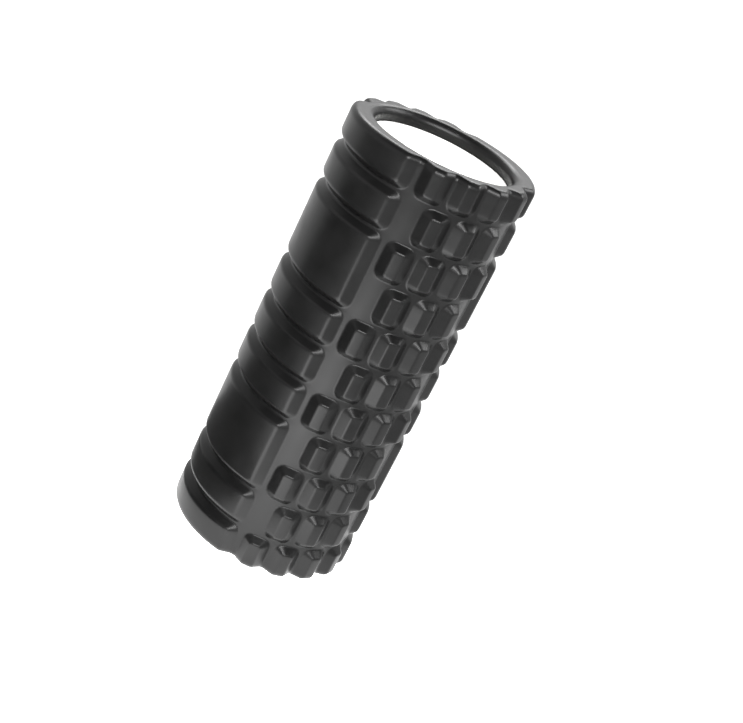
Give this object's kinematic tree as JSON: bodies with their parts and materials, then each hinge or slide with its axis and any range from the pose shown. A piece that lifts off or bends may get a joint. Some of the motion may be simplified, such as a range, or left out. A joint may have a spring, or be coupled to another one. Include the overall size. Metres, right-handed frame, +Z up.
{
  "type": "foam roller",
  "caption": "Hollow massage roller: a rigid core tube in a thick foam sleeve moulded with long bars and staggered small blocks.",
  "frame": {"origin": "centre of the lower end plane, on the roller's axis, with the roller standing on one end", "axes": "+Z up along the roller's axis; -Y through the middle of one field of small blocks; +X through the middle of one set of long bars"},
  "size_m": [0.14, 0.14, 0.33],
  "materials": {
    "eva_foam": "satin moulded skin",
    "core_plastic": "extruded, semi-matt",
    "contact_adhesive": "dull film"
  },
  "bodies": {
    "root": {"foam_sleeve": "eva_foam", "core_tube": "core_plastic", "adhesive_film": "contact_adhesive"}
  },
  "joints": []
}
